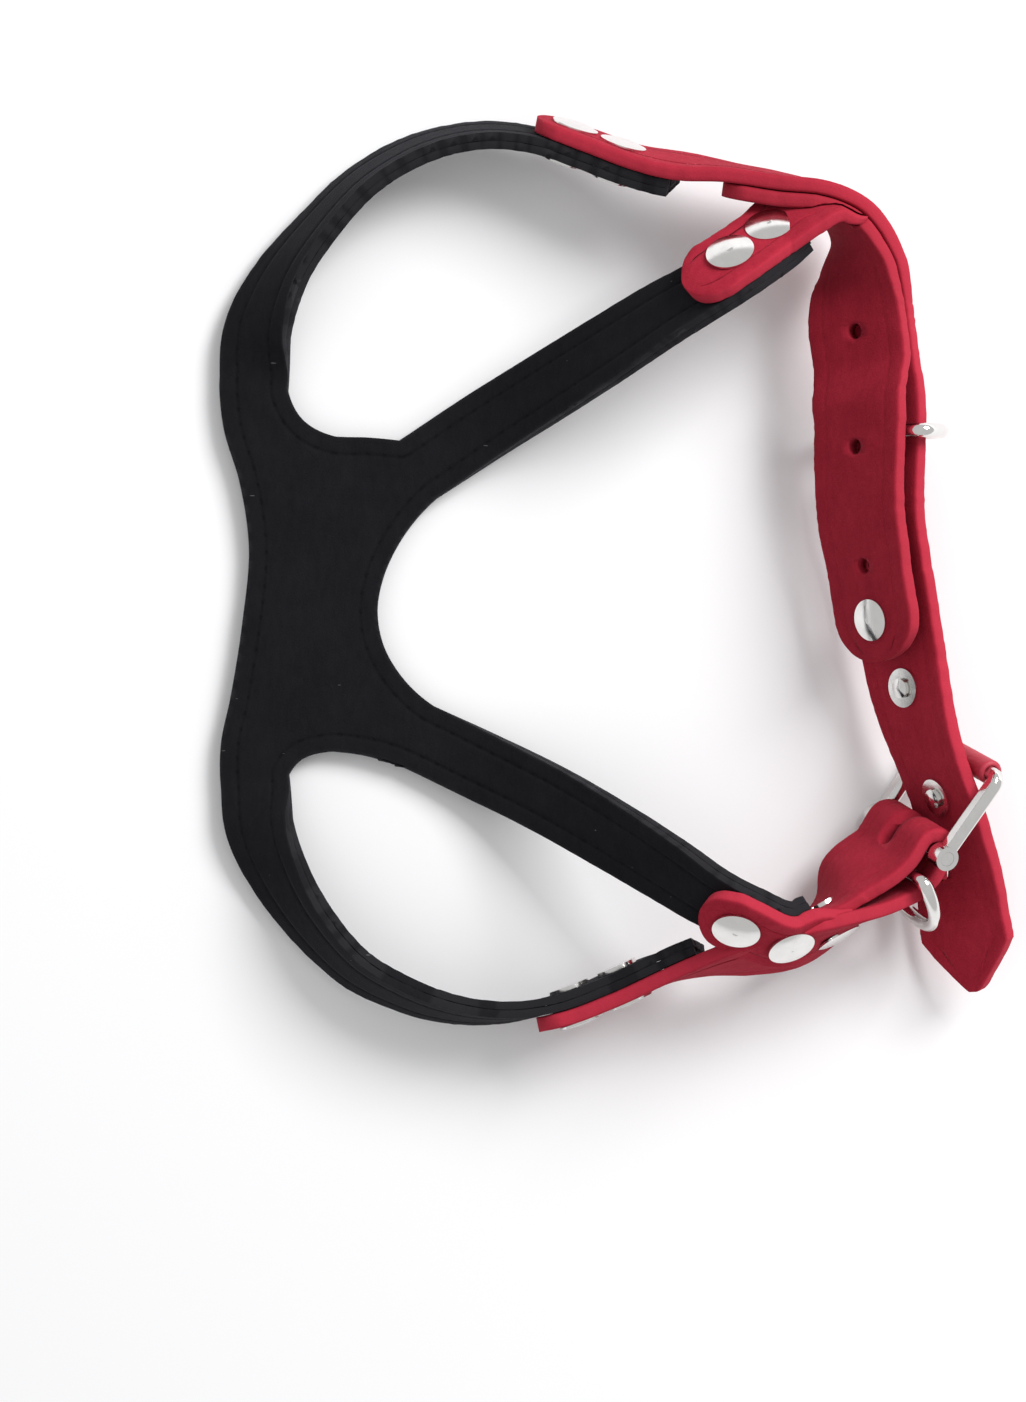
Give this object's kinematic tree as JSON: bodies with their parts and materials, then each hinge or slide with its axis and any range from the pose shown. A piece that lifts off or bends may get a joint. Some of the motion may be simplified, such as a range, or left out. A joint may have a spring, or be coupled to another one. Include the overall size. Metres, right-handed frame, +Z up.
{
  "type": "suede strap harness",
  "caption": "Small suede strap harness: two-layer panel with two leg loops, riveted yokes, snap-adjusted doubled strap, D-rings and a heel-bar buckle.",
  "frame": {"origin": "bottom centre of the bounding box, as it lies on a table", "axes": "+Z up; the flat panel is at -X, the buckled strap at +X; +Y points to the yoke with the snap strap"},
  "size_m": [0.1374, 0.1596, 0.0327],
  "materials": {
    "black_suede": "matt napped suede",
    "black_suede_lining": "matt napped suede",
    "red_suede": "matt napped suede",
    "red_suede_inner": "matt napped suede",
    "nickel": "bright nickel plate",
    "nickel_wire": "bright nickel plate"
  },
  "bodies": {
    "harness": {"upper_outer_rivet_caps": "nickel", "upper_outer_rivet_posts": "nickel", "upper_inner_rivet_caps": "nickel", "upper_inner_rivet_posts": "nickel", "lower_inner_rivet_caps": "nickel", "lower_inner_rivet_posts": "nickel", "lower_outer_rivet_caps": "nickel", "lower_outer_rivet_posts": "nickel", "panel_face": "black_suede", "panel_lining": "black_suede_lining", "snap_studs": "nickel", "snap_eyelets": "nickel", "size_strap": "red_suede_inner", "fold_rivet_cap": "nickel", "fold_rivet_post": "nickel", "lower_yoke_strap": "red_suede", "upper_yoke_strap": "red_suede"},
    "upper_ring": {"d_ring_upper": "nickel_wire"},
    "lower_ring": {"d_ring_lower": "nickel_wire"},
    "snap_flap": {"size_strap_flap": "red_suede_inner", "snap_cap": "nickel", "snap_socket": "nickel"},
    "buckle": {"buckle_frame": "nickel_wire", "buckle_bar": "nickel_wire", "buckle_sleeve": "red_suede_inner"},
    "tongue": {"buckle_tongue": "nickel_wire"}
  },
  "joints": [
    {"name": "upper_ring_swing", "type": "hinge", "parent": "harness", "child": "upper_ring", "pos_m": [0.04401, 0.02404, 0.01536], "axis": [-0.7229, 0.0395, -0.6899], "range_deg": [-39, 39]},
    {"name": "lower_ring_swing", "type": "hinge", "parent": "harness", "child": "lower_ring", "pos_m": [0.04814, -0.05002, 0.01324], "axis": [0.371, -0.2573, 0.8923], "range_deg": [-22, 0]},
    {"name": "snap_flap_lift", "type": "hinge", "parent": "harness", "child": "snap_flap", "pos_m": [0.04099, 0.02066, 0.01821], "axis": [-0.7146, 0.0517, -0.6977], "range_deg": [0, 65]},
    {"name": "buckle_swing", "type": "hinge", "parent": "harness", "child": "buckle", "pos_m": [0.05122, -0.04559, 0.01324], "axis": [0.3677, -0.2555, 0.8942], "range_deg": [-12, 0]},
    {"name": "tongue_swing", "type": "hinge", "parent": "harness", "child": "tongue", "pos_m": [0.05122, -0.04559, 0.01324], "axis": [0.3677, -0.2555, 0.8942], "range_deg": [-18, 2]}
  ]
}
